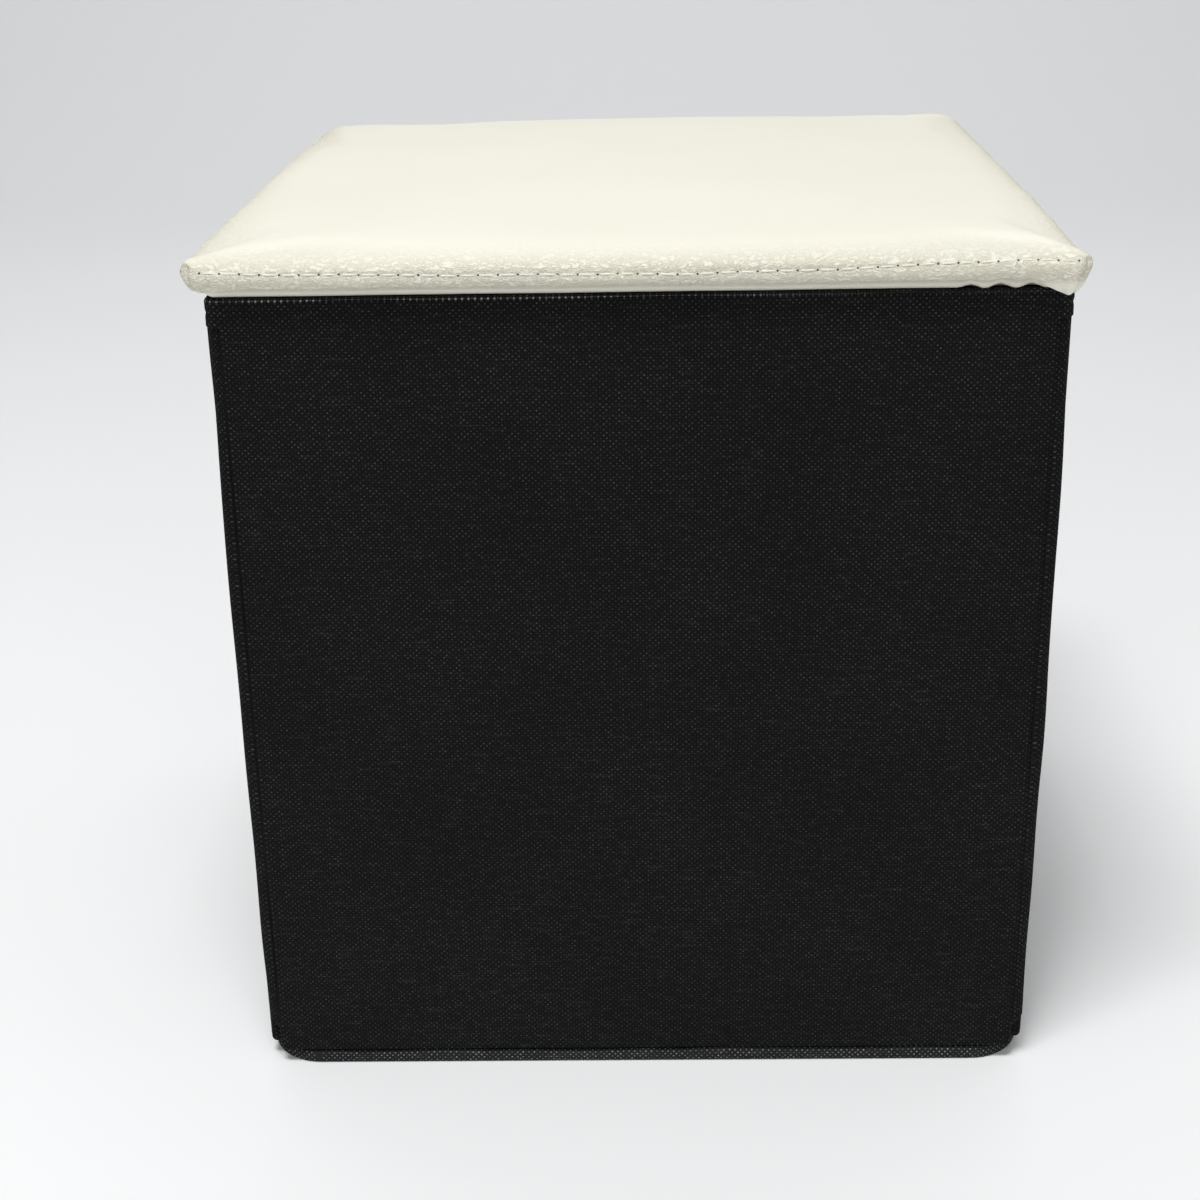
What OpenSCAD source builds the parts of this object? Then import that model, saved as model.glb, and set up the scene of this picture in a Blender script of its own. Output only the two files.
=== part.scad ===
// Fold-flat cube stool with storage inside.
// Stiff boards are sewn into a fabric box. The side walls crease inward at their centre line, so the
// front wall slides back and the box folds flat. A loose padded lid makes the seat.
// Frame: origin at the centre of the base, +Z up, front wall facing -Y, +X to the right.

/* [Body] */
// Outer width of the fabric box
body_w = 300; // [280:1:340]
// Outer depth of the fabric box
body_d = 300; // [280:1:340]
// Height of the fabric box to the top of its binding
body_h = 312; // [280:1:360]
// Height of the wall's lower edge above the floor
wall_z = 6; // [6:0.5:12]

/* [Walls] */
// Thickness of the outer non-woven cover
cover_t = 0.8; // [0.6:0.1:1.2]
// Thickness of the hardboard inside each wall
board_t = 3; // [2:0.5:4]
// Thickness of the inner lining
lining_t = 0.7; // [0.5:0.1:1]
// Height of the tape bound over the top edges
binding_h = 10; // [8:1:16]
// Thickness of the binding tape
binding_t = 0.7; // [0.5:0.1:0.8]

/* [Bottom] */
// Thickness of the bottom fabric
bottom_t = 0.6; // [0.5:0.1:1]
// Height of the bound seam that runs round the base
band_h = 5; // [4:0.5:5]
// Thickness of the bound seam
band_t = 4.5; // [3:0.5:5]
// Plan radius of the bound seam at the four corners
band_r = 20; // [8:1:24]
// Thickness of the hardboard in the base board
base_t = 2.5; // [2:0.5:2.5]
// Thickness of the fabric sleeve round the base board
sleeve_t = 0.5; // [0.4:0.1:0.6]
// Width of the ribbon that lifts the base board
tab_w = 24; // [15:1:40]
// Length of the ribbon that lifts the base board
tab_l = 34; // [20:1:60]

/* [Lid] */
// Width of the lid
lid_w = 309; // [306:1:350]
// Depth of the lid
lid_d = 313; // [306:1:350]
// Thickness of the lid at its centre
lid_h = 19; // [17:1:30]
// Thickness of the hardboard in the lid
lid_board_t = 3; // [2:0.5:4]
// Thickness of the lid's leathercloth cover
skin_t = 0.9; // [0.6:0.1:1.2]
// Width of the cover's hem on the underside
hem_w = 17; // [10:1:30]

/* [Folding] */
// Distance from the back wall's inner face to the rear fold lines
rear_set = 6; // [6:0.5:10]
// Distance from the front wall's inner face to the front fold lines
front_set = 2; // [2:0.5:4]
// Clearance between parts that fold past each other
gap = 0.3; // [0.3:0.05:0.5]

/* [Hidden] */

// Colours
black_fabric = [0.09, 0.09, 0.095];
black_tape = [0.07, 0.07, 0.075];
brown_board = [0.47, 0.34, 0.22];
cream_skin = [0.94, 0.92, 0.84];
yellow_foam = [0.93, 0.88, 0.66];
grey_felt = [0.13, 0.13, 0.135];

// Walls
wall_t = cover_t + board_t + lining_t;
half_w = body_w / 2;
half_d = body_d / 2;
inner_w = half_w - wall_t;
inner_d = half_d - wall_t;
fabric_top = body_h - binding_t;
pocket_h = fabric_top - wall_z;
board_play = 1;                             // room round a board in its pocket
flat_half_w = inner_w - gap;                // half the width of the front and back walls
corner_l = wall_t + 1.3;                    // length of a corner strip along the side wall
crease_w = 3;                               // boardless strip along the crease

// Fold lines of the side walls, as plan positions of the left wall's lines
rear_line_y = inner_d - rear_set;
front_line_y = -inner_d + front_set;
crease_y = (rear_line_y + front_line_y) / 2;
crease_rear_y = crease_y + crease_w / 2;
crease_front_y = crease_y - crease_w / 2;

// Bottom and base board
band_out = 0.9;                             // how far the bound seam stands out of the walls
rim_t = 0.8;                                // seam allowance that stands up inside the bound seam
rim_z = wall_z - 0.4;
sleeve_z = bottom_t + gap;
sleeve_h = base_t + 2 * sleeve_t;
sleeve_half_w = inner_w - 1;
sleeve_r = band_r - band_t + 1;             // plan radius of the base board, inside the bound seam's
sleeve_front_y = -inner_d + 1;
sleeve_rear_y = inner_d - 1.5;
strip_t = 0.4;
strip_h = 18;
tab_t = 0.5;

// Lid
lid_z = body_h + gap;
hem_half_w = lid_w / 2 - hem_w;
hem_half_d = lid_d / 2 - hem_w;
lid_mid = 11;                               // height of the lid's widest line
lid_corner_r = 13;
lid_board_inset = 8;                        // the cover's soft edge overhangs the board by this much
foam_play = 0.15;
foam_foot = 0.7;                            // how far the foam's lower edge is set in from its sides
// Each level of the lid is its height above the underside and how far it is set in from the widest line
lid_levels = [
    [0, 3.5], [3.5, 0.8], [lid_mid, 0], [lid_h - 5, 1.5], [lid_h - 2.8, 5], [lid_h - 0.8, 40], [lid_h, 90]
];

// ---- Wall pieces. A wall lies along +X with its outer face at y = 0 and its thickness towards +Y ----

// Hardboard from x = a to x = b
module wall_board(a, b) {
    color(brown_board)
        translate([a + cover_t + board_play, cover_t, wall_z + cover_t + board_play])
            cube([b - a - 2 * (cover_t + board_play), board_t, pocket_h - cover_t - 2 * board_play]);
}

// Outer cover, sewn as a pocket that wraps the board's ends and foot
module wall_cover(a, b) {
    color(black_fabric)
        difference() {
            translate([a, 0, wall_z])
                cube([b - a, cover_t + board_t, pocket_h]);
            translate([a + cover_t, cover_t, wall_z + cover_t])
                cube([b - a - 2 * cover_t, board_t + 1, pocket_h]);
        }
}

// Lining sheet that closes the pocket on the inside
module wall_lining(a, b) {
    color(black_fabric)
        translate([a, cover_t + board_t, wall_z])
            cube([b - a, lining_t, pocket_h]);
}

// Tape folded over the top edge. The inner leg runs from x = inner_a to x = inner_b
module wall_binding(a, b, inner_a, inner_b) {
    color(black_tape) {
        translate([a, -binding_t, body_h - binding_h])
            cube([b - a, binding_t, binding_h]);
        translate([a, 0, fabric_top])
            cube([b - a, wall_t, binding_t]);
        translate([inner_a, wall_t, body_h - binding_h])
            cube([inner_b - inner_a, binding_t, binding_h]);
    }
}

// Plan of a corner: rounded outside at the origin, running len along +X, grown outward by grow
module corner_plan(len, grow) {
    r = wall_t + grow;
    translate([wall_t, -grow])
        square([len - wall_t, r]);
    intersection() {
        translate([wall_t, wall_t])
            circle(r, $fn = 48);
        translate([-grow, -grow])
            square(r);
    }
}

// Fabric turned round a corner of the box, from the bottom to the top edge
module corner_strip() {
    color(black_fabric)
        translate([0, 0, wall_z])
            linear_extrude(pocket_h)
                corner_plan(corner_l, 0);
}

// The part of the top tape that wraps the corner strip
module corner_binding() {
    color(black_tape) {
        translate([0, 0, body_h - binding_h])
            linear_extrude(binding_h - binding_t)
                difference() {
                    corner_plan(corner_l, binding_t);
                    corner_plan(corner_l + 1, 0);
                }
        translate([0, 0, fabric_top])
            linear_extrude(binding_t)
                corner_plan(corner_l, binding_t);
    }
}

// Rectangle of half width hw and half depth hd with corners of radius r
module rounded_plan(hw, hd, r) {
    square([2 * (hw - r), 2 * hd], center = true);
    square([2 * hw, 2 * (hd - r)], center = true);
    for (x = [-1, 1], y = [-1, 1])
        translate([x * (hw - r), y * (hd - r)])
            circle(r, $fn = 64);
}

// ---- Placing. The front and back walls' x runs along the wall, and so does a half side wall's ----

module on_front() {
    translate([0, -half_d, 0])
        children();
}

module on_back() {
    mirror([0, 1, 0])
        on_front()
            children();
}

// The left wall's front half: x = 0 is the front corner's outer face, x grows towards the back
module on_left_front() {
    translate([-half_w, -half_d, 0])
        mirror([1, -1, 0])
            children();
}

// The left wall's rear half: x = 0 is the rear corner's outer face, x grows towards the front
module on_left_rear() {
    mirror([0, 1, 0])
        on_left_front()
            children();
}

module to_right() {
    mirror([1, 0, 0])
        children();
}

// Lengths of the two halves of a side wall, from the corner's outer face to the crease
front_half_l = crease_front_y + half_d;
rear_half_l = half_d - crease_rear_y;

// ---- Pieces of half a side wall, for a half of length half_l ----

module half_board(half_l) wall_board(corner_l, half_l);
module half_cover(half_l) wall_cover(corner_l, half_l);
module half_lining(half_l) wall_lining(corner_l, half_l);

module half_binding(half_l) {
    wall_binding(corner_l, half_l, corner_l + 0.2, half_l);
    corner_binding();
}

// Seam through both fabrics between the two boards of a side wall, on its rear half
module crease_seam() {
    web_t = 1.5;
    web_y = (wall_t - web_t) / 2;
    color(black_fabric)
        translate([rear_half_l, web_y, wall_z])
            cube([crease_w - gap, web_t, pocket_h]);
}

// ---- Back wall ----
module back_board() on_back() wall_board(-flat_half_w, flat_half_w);
module back_outer_cover() on_back() wall_cover(-flat_half_w, flat_half_w);
module back_lining() on_back() wall_lining(-flat_half_w, flat_half_w);
module back_top_binding() on_back() wall_binding(-flat_half_w, flat_half_w, 1 - flat_half_w, flat_half_w - 1);

// ---- Front wall ----
module front_board() on_front() wall_board(-flat_half_w, flat_half_w);
module front_outer_cover() on_front() wall_cover(-flat_half_w, flat_half_w);
module front_lining() on_front() wall_lining(-flat_half_w, flat_half_w);
module front_top_binding() on_front() wall_binding(-flat_half_w, flat_half_w, 1 - flat_half_w, flat_half_w - 1);

// ---- Left wall ----
module left_rear_board() on_left_rear() half_board(rear_half_l);
module left_rear_outer_cover() on_left_rear() half_cover(rear_half_l);
module left_rear_lining() on_left_rear() half_lining(rear_half_l);
module left_rear_top_binding() on_left_rear() half_binding(rear_half_l);
module left_rear_corner() on_left_rear() corner_strip();
module left_crease_seam() on_left_rear() crease_seam();
module left_front_board() on_left_front() half_board(front_half_l);
module left_front_outer_cover() on_left_front() half_cover(front_half_l);
module left_front_lining() on_left_front() half_lining(front_half_l);
module left_front_top_binding() on_left_front() half_binding(front_half_l);
module left_front_corner() on_left_front() corner_strip();

// ---- Right wall, the left wall's mirror image ----
module right_rear_board() to_right() left_rear_board();
module right_rear_outer_cover() to_right() left_rear_outer_cover();
module right_rear_lining() to_right() left_rear_lining();
module right_rear_top_binding() to_right() left_rear_top_binding();
module right_rear_corner() to_right() left_rear_corner();
module right_crease_seam() to_right() left_crease_seam();
module right_front_board() to_right() left_front_board();
module right_front_outer_cover() to_right() left_front_outer_cover();
module right_front_lining() to_right() left_front_lining();
module right_front_top_binding() to_right() left_front_top_binding();
module right_front_corner() to_right() left_front_corner();

// ---- Bottom ----

// The bound seam's plan, set in by inset from its outer edge
module band_plan(inset) {
    rounded_plan(half_w + band_out - inset, half_d + band_out - inset, band_r - inset);
}

module band_ring(outer_inset, inner_inset, h) {
    linear_extrude(h)
        difference() {
            band_plan(outer_inset);
            band_plan(inner_inset);
        }
}

module bottom_fabric() {
    color(black_fabric)
        linear_extrude(bottom_t)
            band_plan(band_t);
}

// Bound seam on the floor, with the seam allowance standing up inside it
module bottom_binding() {
    color(black_tape) {
        band_ring(0, band_t, band_h);
        band_ring(band_t - rim_t, band_t, rim_z);
    }
}

// ---- Base board, which lies on the bottom and flips up against the back wall ----

module base_block(inset) {
    translate([0, (sleeve_front_y + sleeve_rear_y) / 2, sleeve_z + inset])
        linear_extrude(sleeve_h - 2 * inset)
            rounded_plan(sleeve_half_w - inset, (sleeve_rear_y - sleeve_front_y) / 2 - inset, sleeve_r - inset);
}

module base_board() {
    color(brown_board)
        base_block(sleeve_t);
}

module base_board_sleeve() {
    color(black_fabric)
        difference() {
            base_block(0);
            base_block(sleeve_t);
        }
}

// Tape sewn along the back wall's lining, which the base board hangs on
module base_hinge_strip() {
    color(black_tape)
        translate([-sleeve_half_w, inner_d - strip_t, wall_z])
            cube([2 * sleeve_half_w, strip_t, strip_h]);
}

module base_pull_tab() {
    color(black_tape)
        translate([-tab_w / 2, sleeve_front_y + 4, sleeve_z + sleeve_h])
            cube([tab_w, tab_l, tab_t]);
}

// ---- Lid ----

module lid_slab(inset) {
    w = lid_w - 2 * inset;
    d = lid_d - 2 * inset;
    r = max(lid_corner_r - inset / 2, 4);
    linear_extrude(0.01)
        hull()
            for (x = [-1, 1], y = [-1, 1])
                translate([x * (w / 2 - r), y * (d / 2 - r)])
                    circle(r, $fn = 32);
}

// Slabs of the lid's levels from number first up, shrunk by skin on every side
module lid_slabs(first, skin) {
    for (i = [first:len(lid_levels) - 1])
        translate([0, 0, lid_z + lid_levels[i][0] + (lid_levels[i][0] < lid_mid ? skin : -skin)])
            lid_slab(lid_levels[i][1] + skin);
}

module lid_form(skin) {
    hull()
        lid_slabs(0, skin);
}

lid_board_half_w = lid_w / 2 - lid_board_inset;
lid_board_half_d = lid_d / 2 - lid_board_inset;
lid_board_top = lid_z + skin_t + lid_board_t;

module lid_board() {
    color(brown_board)
        translate([0, 0, lid_z + skin_t + 0.05])
            linear_extrude(lid_board_t - 0.05)
                rounded_plan(lid_board_half_w, lid_board_half_d, lid_corner_r);
}

module lid_foam() {
    foam_skin = skin_t + foam_play;
    color(yellow_foam)
        hull() {
            translate([0, 0, lid_board_top])
                lid_slab(lid_levels[1][1] + foam_skin + foam_foot);
            lid_slabs(2, foam_skin);
        }
}

// Leathercloth pulled over the foam and hemmed under the board
module lid_cover() {
    color(cream_skin)
        difference() {
            lid_form(0);
            lid_form(skin_t);
            translate([-hem_half_w, -hem_half_d, lid_z - 1])
                cube([2 * hem_half_w, 2 * hem_half_d, 1 + skin_t + 0.5]);
        }
}

module lid_underside() {
    color(grey_felt)
        translate([-hem_half_w, -hem_half_d, lid_z])
            cube([2 * hem_half_w, 2 * hem_half_d, skin_t]);
}

back_board();
back_outer_cover();
back_lining();
back_top_binding();
front_board();
front_outer_cover();
front_lining();
front_top_binding();
left_rear_board();
left_rear_outer_cover();
left_rear_lining();
left_rear_top_binding();
left_rear_corner();
left_crease_seam();
left_front_board();
left_front_outer_cover();
left_front_lining();
left_front_top_binding();
left_front_corner();
right_rear_board();
right_rear_outer_cover();
right_rear_lining();
right_rear_top_binding();
right_rear_corner();
right_crease_seam();
right_front_board();
right_front_outer_cover();
right_front_lining();
right_front_top_binding();
right_front_corner();
bottom_fabric();
bottom_binding();
base_board();
base_board_sleeve();
base_hinge_strip();
base_pull_tab();
lid_board();
lid_foam();
lid_cover();
lid_underside();
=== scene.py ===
import math

import bmesh
import bpy
import numpy as np
from mathutils import Matrix, Vector
from mathutils.bvhtree import BVHTree


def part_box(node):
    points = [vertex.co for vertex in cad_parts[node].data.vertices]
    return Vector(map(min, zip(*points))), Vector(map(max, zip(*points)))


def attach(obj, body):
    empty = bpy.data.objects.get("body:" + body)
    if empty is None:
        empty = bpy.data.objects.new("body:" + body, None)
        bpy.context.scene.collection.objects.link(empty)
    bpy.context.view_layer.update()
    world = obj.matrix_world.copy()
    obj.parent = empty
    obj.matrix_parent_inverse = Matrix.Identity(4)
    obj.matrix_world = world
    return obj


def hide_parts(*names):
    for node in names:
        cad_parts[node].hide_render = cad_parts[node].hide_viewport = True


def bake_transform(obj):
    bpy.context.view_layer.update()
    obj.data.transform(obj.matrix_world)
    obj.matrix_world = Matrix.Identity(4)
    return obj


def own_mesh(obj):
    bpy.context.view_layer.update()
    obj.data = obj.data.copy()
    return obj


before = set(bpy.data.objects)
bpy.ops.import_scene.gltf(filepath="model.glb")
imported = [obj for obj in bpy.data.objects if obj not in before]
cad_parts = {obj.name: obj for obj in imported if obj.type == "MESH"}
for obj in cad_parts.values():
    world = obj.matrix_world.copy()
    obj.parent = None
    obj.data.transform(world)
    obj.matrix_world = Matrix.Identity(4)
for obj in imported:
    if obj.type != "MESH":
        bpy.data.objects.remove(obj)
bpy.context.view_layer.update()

MM = 0.001


def node_box(name):
    """The low and high corners of a CAD node's box."""
    return [np.array(corner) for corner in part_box(name)]


# ---- sizes, nearly all read from the frame
FRONT_LO, FRONT_HI = node_box("front_outer_cover")
LINING_LO, LINING_HI = node_box("front_lining")
TAPE_LO, TAPE_HI = node_box("front_top_binding")
LID_LO, LID_HI = node_box("lid_cover")
BAND_HI = node_box("bottom_binding")[1]

HALF = -FRONT_LO[1]  # from the centre to a wall's outer face
FLAT_HALF = FRONT_HI[0]  # half the width of the front and back panels
WALL_T = LINING_HI[1] - FRONT_LO[1]
INNER = HALF - WALL_T  # from the centre to a wall's inner face
COVER_T = 0.8 * MM
LINING_T = LINING_HI[1] - LINING_LO[1]
WALL_Z0, WALL_Z1 = FRONT_LO[2], FRONT_HI[2]
TAPE_T = TAPE_HI[2] - WALL_Z1
TAPE_Z0, TAPE_Z1 = TAPE_LO[2], TAPE_HI[2]
CORNER_END = -node_box("left_front_corner")[1][1]  # where a side panel meets its corner roll
CREASE_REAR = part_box("left_rear_outer_cover")[0][1]
CREASE_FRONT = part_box("left_front_outer_cover")[1][1]
UP = np.array([0.0, 0.0, 1.0])


# ---- mesh helpers

def ripple(points, wavelength, seed, waves=14):
    """Smooth seeded undulation of about unit size over the points."""
    rng = np.random.default_rng(seed)
    direction = rng.normal(size=(waves, 3))
    direction /= np.linalg.norm(direction, axis=1, keepdims=True)
    scale = 2 * math.pi / wavelength * rng.uniform(0.6, 1.4, size=(waves, 1))
    phase = rng.uniform(0, 2 * math.pi, size=waves)
    return np.cos(np.asarray(points) @ (direction * scale).T + phase).sum(-1) / math.sqrt(waves / 2)


def smoothstep(x, lo, hi):
    t = np.clip((np.asarray(x, float) - lo) / (hi - lo), 0, 1)
    return t * t * (3 - 2 * t)


def fade(x, lo, hi):
    """1 below lo, 0 above hi."""
    return 1 - smoothstep(x, lo, hi)


def bell(x, width):
    return np.exp(-(x / width) ** 2)


def make_object(name, verts, faces, material, uvs=None):
    """A smooth mesh object. uvs holds one (u, v) in metres per vertex, or one per face corner."""
    mesh = bpy.data.meshes.new(name)
    mesh.from_pydata(np.asarray(verts, float).tolist(), [], [list(map(int, f)) for f in faces])
    mesh.validate()
    mesh.update()
    mesh.polygons.foreach_set("use_smooth", [True] * len(mesh.polygons))
    if uvs is not None:
        layer = mesh.uv_layers.new(name="UVMap")
        uvs = np.asarray(uvs, float)
        if len(uvs) == len(mesh.vertices):
            loop_vertex = np.zeros(len(mesh.loops), int)
            mesh.loops.foreach_get("vertex_index", loop_vertex)
            uvs = uvs[loop_vertex]
        layer.data.foreach_set("uv", uvs.ravel())
    mesh.materials.append(material)
    obj = bpy.data.objects.new(name, mesh)
    bpy.context.scene.collection.objects.link(obj)
    return obj


def final_mesh(obj):
    """Applies the object's modifiers to its mesh."""
    graph = bpy.context.evaluated_depsgraph_get()
    mesh = bpy.data.meshes.new_from_object(obj.evaluated_get(graph))
    obj.modifiers.clear()
    obj.data = mesh
    return obj


def vertex_array(mesh):
    co = np.zeros(len(mesh.vertices) * 3)
    mesh.vertices.foreach_get("co", co)
    return co.reshape(-1, 3)


def set_vertices(mesh, co):
    mesh.vertices.foreach_set("co", np.asarray(co, float).ravel())
    mesh.update()


def grid_quads(rows, cols, wrap=False):
    """Quads over a grid of rows x cols points; wrap joins the last column to the first."""
    i, j = np.meshgrid(np.arange(rows - 1), np.arange(cols if wrap else cols - 1), indexing="ij")
    i, j = i.ravel(), j.ravel()
    k = (j + 1) % cols
    return np.stack([i * cols + j, i * cols + k, (i + 1) * cols + k, (i + 1) * cols + j], 1)


def unit(vectors):
    return vectors / np.maximum(np.linalg.norm(vectors, axis=-1, keepdims=True), 1e-12)


def grid_normals(points):
    return unit(np.cross(np.gradient(points, axis=1), np.gradient(points, axis=0)))


def path_length(points):
    """How far along a line of points each one lies."""
    return np.concatenate([[0], np.cumsum(np.linalg.norm(np.diff(points, axis=0), axis=1))])


def grid_of(*parts):
    """Coordinates of any shapes that broadcast together, as one grid."""
    return np.stack(np.broadcast_arrays(*parts), -1)


def face_outward(obj):
    """Turns the faces of a closed mesh so that their normals point out."""
    bm = bmesh.new()
    bm.from_mesh(obj.data)
    bmesh.ops.recalc_face_normals(bm, faces=bm.faces)
    bm.to_mesh(obj.data)
    bm.free()
    obj.data.update()


def closed_object(*parts):
    """make_object, for a closed mesh."""
    obj = make_object(*parts)
    face_outward(obj)
    return obj


def cloth_shell(name, points, thickness, material, uv):
    """A closed sheet of cloth: points[row, col] is its outer face, and rounded hems close its four edges."""
    rows, cols = points.shape[:2]
    count = rows * cols
    normal = grid_normals(points).reshape(-1, 3)
    front, uv = points.reshape(-1, 3), uv.reshape(-1, 2)
    back = front - normal * thickness
    quads = grid_quads(rows, cols)
    index = np.arange(count).reshape(rows, cols)
    loop = np.concatenate([index[0, :-1], index[:-1, -1], index[-1, :0:-1], index[:0:-1, 0]])
    edge = front[loop]
    outward = unit(np.cross(np.roll(edge, -1, 0) - np.roll(edge, 1, 0), normal[loop]))
    if ((edge - front[index[rows // 2, cols // 2]]) * outward).sum() < 0:
        outward = -outward
    hem = (edge + back[loop]) / 2 + outward * thickness / 2
    ring = 2 * count + np.arange(len(loop))
    ring_next, loop_next = np.roll(ring, -1), np.roll(loop, -1)
    faces = [quads, quads[:, ::-1] + count, np.stack([loop, ring, ring_next, loop_next], 1),
             np.stack([ring, loop + count, loop_next + count, ring_next], 1)]
    return closed_object(name, np.concatenate([front, back, hem]), np.concatenate(faces), material,
                         np.concatenate([uv, uv, uv[loop]]))


EDGE_ARCS = 4  # steps round half an edge of a rounded slab
NOT_DENSE = (0.0, 1.0)


def rounded_lines(lo, hi, radius, step, dense):
    """Lattice coordinates from lo to hi, close together round each edge and even steps between.
    dense is (length, step) of a finer stretch next to each edge."""
    bend = radius * (1 - np.tan(np.linspace(math.pi / 4, 0, EDGE_ARCS + 1)))[:-1]
    fine = radius + np.linspace(0, dense[0], int(round(dense[0] / dense[1])) + 1)[:-1]
    near, far = lo + radius + dense[0], hi - radius - dense[0]
    middle = np.linspace(near, far, max(2, int(round((far - near) / step)) + 1))
    return np.concatenate([lo + bend, lo + fine, middle, (hi - fine)[::-1], (hi - bend)[::-1]])


def rounded_slab(lo, hi, radius, step, sides="xXyYzZ", dense=NOT_DENSE):
    """Points, quads, corner uvs of a box with rounded edges. sides names the faces to make:
    x and X are the low and high faces along X, and so on. uvs unwrap round the edges, in metres."""
    lo, hi = np.array(lo, float), np.array(hi, float)
    roomy = hi - lo - 2 * radius > 2.5 * dense[0]
    lines = [rounded_lines(lo[k], hi[k], radius, step, dense if roomy[k] else NOT_DENSE) for k in range(3)]
    verts, faces, uvs = [], [], []
    for side in sides:
        k, high = "xyz".index(side.lower()), side.isupper()
        a, b = [m for m in range(3) if m != k]
        p = np.zeros((len(lines[a]), len(lines[b]), 3))
        p[..., a], p[..., b], p[..., k] = lines[a][:, None], lines[b][None, :], (hi if high else lo)[k]
        quads = grid_quads(*p.shape[:2])
        if (k == 1) == high:
            quads = quads[:, ::-1]
        inner = np.clip(p, lo + radius, hi - radius)
        p = (inner + unit(p - inner) * radius).reshape(-1, 3)
        faces.append(quads + sum(map(len, verts)))
        verts.append(p)
        uvs.append(slab_unwrap(p, k, high, lo, hi)[quads.ravel()])
    verts, faces, uvs = np.concatenate(verts), np.concatenate(faces), np.concatenate(uvs)
    key = np.round(verts / 1e-7).astype(np.int64)
    _, first, back = np.unique(key, axis=0, return_index=True, return_inverse=True)
    return verts[first], back.ravel()[faces], uvs


def slab_unwrap(p, k, high, lo, hi):
    """Cloth coordinates of a slab's face whose thin direction is X or Y (a wall) or Z (a board)."""
    size = hi - lo
    thin = int(np.argmin(size))
    if thin == 2:
        return p[:, :2] if k == 2 else np.stack([p[:, 0] + p[:, 2], p[:, 1] + p[:, 2]], 1)
    wide = 1 - thin
    u = p[:, wide].copy()
    v = p[:, 2].copy()
    if k == wide:
        u += (1 if high else -1) * p[:, thin]
    if k == 2:
        v += p[:, thin]
    return np.stack([u, v], 1)


def solidify(obj, thickness, even=False):
    """Gives a surface of cloth its thickness, inwards."""
    solid = obj.modifiers.new("Cloth", "SOLIDIFY")
    solid.thickness = thickness
    solid.offset = -1
    solid.use_even_offset = even
    final_mesh(obj)


def slab_object(name, lo, hi, radius, step, material, sides="xXyYzZ", shell=0.0, waves=None):
    """A rounded slab, or with shell a pocket of cloth of that thickness that is open on the missing sides.
    waves is (height, wavelength, seed) of a gentle unevenness."""
    verts, faces, uvs = rounded_slab(lo, hi, radius, step, sides)
    obj = make_object(name, verts, faces, material, uvs)
    if len(sides) == 6:
        face_outward(obj)
    if waves:
        height, wavelength, seed = waves
        normals = np.zeros(len(obj.data.vertices) * 3)
        obj.data.vertices.foreach_get("normal", normals)
        co = vertex_array(obj.data)
        shift = height * ripple(co, wavelength, seed)
        set_vertices(obj.data, co + normals.reshape(-1, 3) * shift[:, None])
    if shell:
        solidify(obj, shell, even=True)
    return obj


def prism(name, section, heights, material, shape=None):
    """A closed roll: section is a loop of plan points, carried up through heights.
    shape(z) returns the loop at height z."""
    rows, cols = len(heights), len(section)
    verts = [np.column_stack([shape(z) if shape else section, np.full(cols, z)]) for z in heights]
    faces = [list(q) for q in grid_quads(rows, cols, wrap=True)]
    faces += [list(range(cols)), list(range((rows - 1) * cols, rows * cols))]
    uv = np.column_stack([np.tile(path_length(section), rows), np.repeat(heights, cols)])
    return closed_object(name, np.concatenate(verts), faces, material, uv)


def smooth_loop(points, radius, arcs=5):
    """A closed plan loop with its corners rounded."""
    points = np.asarray(points, float)
    out = []
    for i, p in enumerate(points):
        sides = [q - p for q in (points[i - 1], points[(i + 1) % len(points)])]
        r = min(radius, *(np.linalg.norm(side) / 2.1 for side in sides))
        pa, pb = (p + unit(side) * r for side in sides)
        for t in np.linspace(0, 1, arcs):
            out.append((1 - t) ** 2 * pa + 2 * t * (1 - t) * p + t * t * pb)
    return np.array(out)


# ---- materials

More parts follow.
